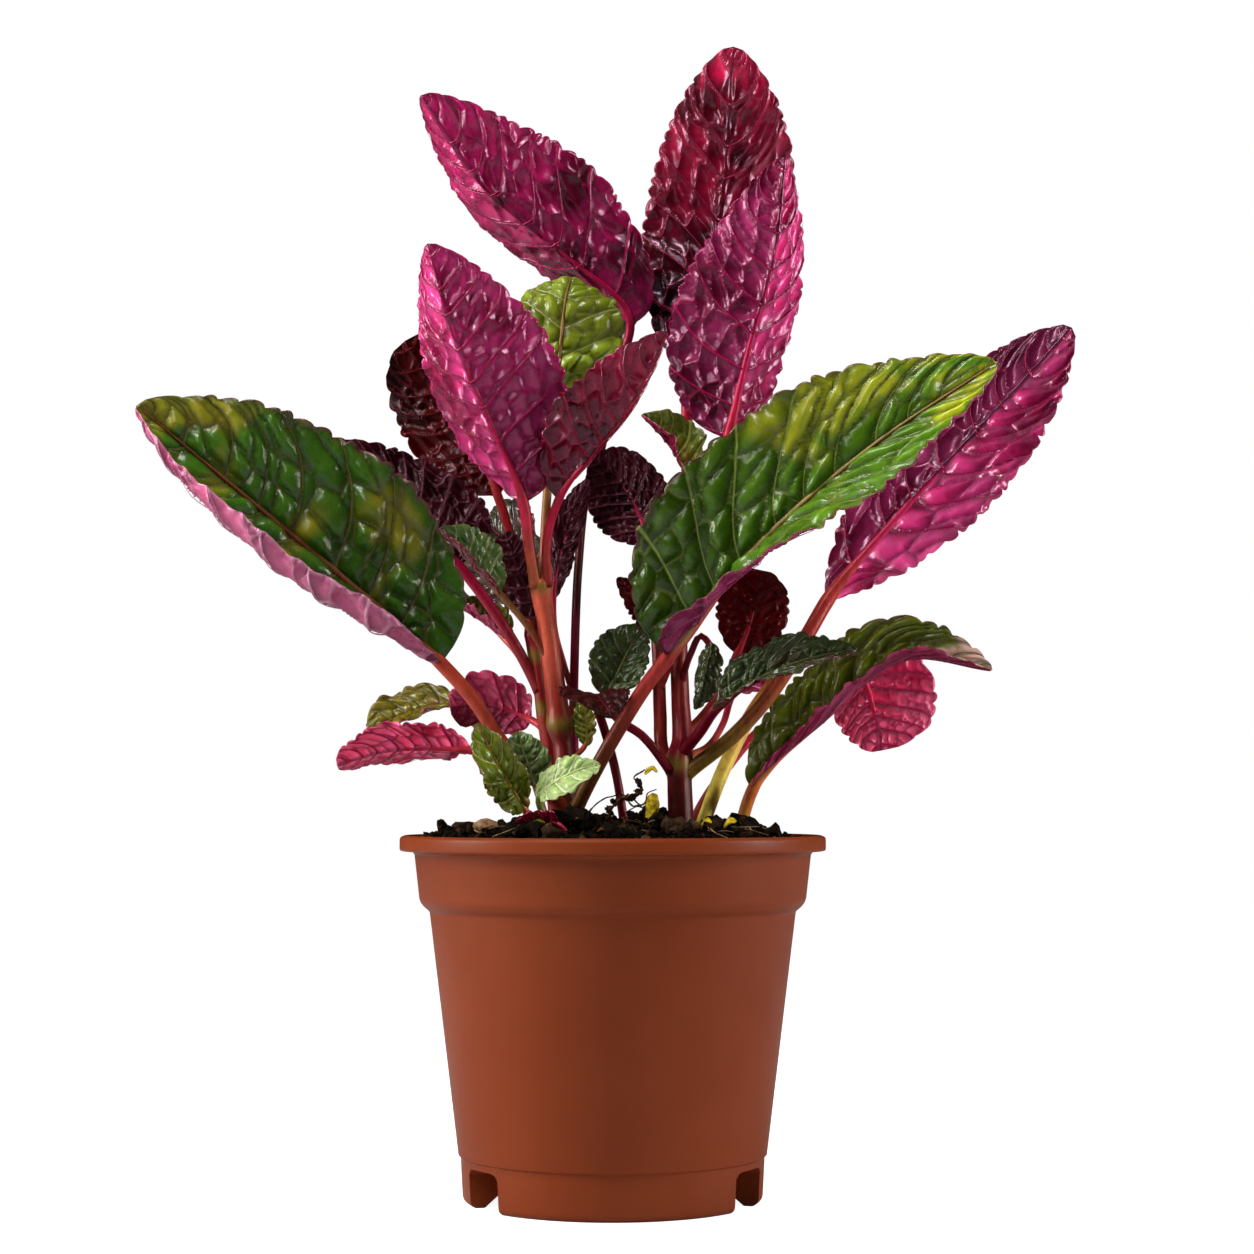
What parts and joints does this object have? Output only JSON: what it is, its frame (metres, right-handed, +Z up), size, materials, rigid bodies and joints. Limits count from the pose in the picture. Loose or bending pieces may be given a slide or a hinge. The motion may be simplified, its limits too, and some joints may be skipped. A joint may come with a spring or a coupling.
{
  "type": "potted waffle plant",
  "caption": "Bushy waffle plant with puckered, scalloped green and magenta leaves in a tapered brown nursery pot.",
  "frame": {"origin": "centre of the pot's foot on the surface it stands on", "axes": "+Z up along the pot's axis; the pictured front faces -Y; +X to the picture's right"},
  "size_m": [0.2665, 0.12, 0.3311],
  "materials": {
    "pot_plastic": "satin",
    "soil_mix": "rough crumbs",
    "stone": "rough",
    "stem": "smooth, fleshy",
    "leaf_magenta": "glossy, puckered",
    "leaf_crimson": "glossy, puckered",
    "leaf_dark": "glossy, puckered",
    "leaf_green": "glossy, puckered",
    "leaf_dark_green": "glossy, puckered",
    "leaf_pale_green": "soft gloss"
  },
  "bodies": {
    "root": {"pot": "pot_plastic", "soil": "soil_mix", "stone": "stone", "stem_left_front": "stem", "stem_left_back": "stem", "stem_tall": "stem", "stem_right": "stem", "stem_right_branch": "stem", "leaf_top_left": "leaf_magenta", "leaf_top_centre": "leaf_crimson", "leaf_top_right": "leaf_magenta", "leaf_front_left": "leaf_magenta", "leaf_front_right": "leaf_crimson", "leaf_pale_curled": "leaf_green", "leaf_left_long": "leaf_green", "leaf_left_dark": "leaf_dark", "leaf_left_small_green": "leaf_green", "leaf_left_red": "leaf_crimson", "leaf_left_small_pink": "leaf_green", "leaf_dark_behind": "leaf_dark", "leaf_narrow_dark": "leaf_dark", "leaf_middle_dark": "leaf_dark", "leaf_middle_narrow": "leaf_green", "leaf_right_long": "leaf_green", "leaf_far_right": "leaf_magenta", "leaf_right_small_red": "leaf_crimson", "leaf_right_arching": "leaf_green", "leaf_right_hanging": "leaf_magenta", "leaf_right_front": "leaf_green", "leaf_middle_strip": "leaf_crimson", "leaf_middle_drooping": "leaf_green", "leaf_shoot_upright": "leaf_dark_green", "leaf_shoot_forward": "leaf_dark_green", "leaf_shoot_olive": "leaf_green", "leaf_low_left": "leaf_magenta", "leaf_low_left_olive": "leaf_green", "leaf_low_left_pink": "leaf_magenta", "leaf_low_front_green": "leaf_dark_green", "leaf_low_front_crinkled": "leaf_dark_green", "leaf_low_front_pale": "leaf_pale_green", "leaf_low_front_tiny": "leaf_crimson", "leaf_right_behind": "leaf_magenta", "leaf_back_left": "leaf_magenta", "leaf_back_right": "leaf_green", "leaf_back_top": "leaf_crimson", "leaf_back_middle": "leaf_green", "leaf_back_low_right": "leaf_magenta"}
  },
  "joints": []
}
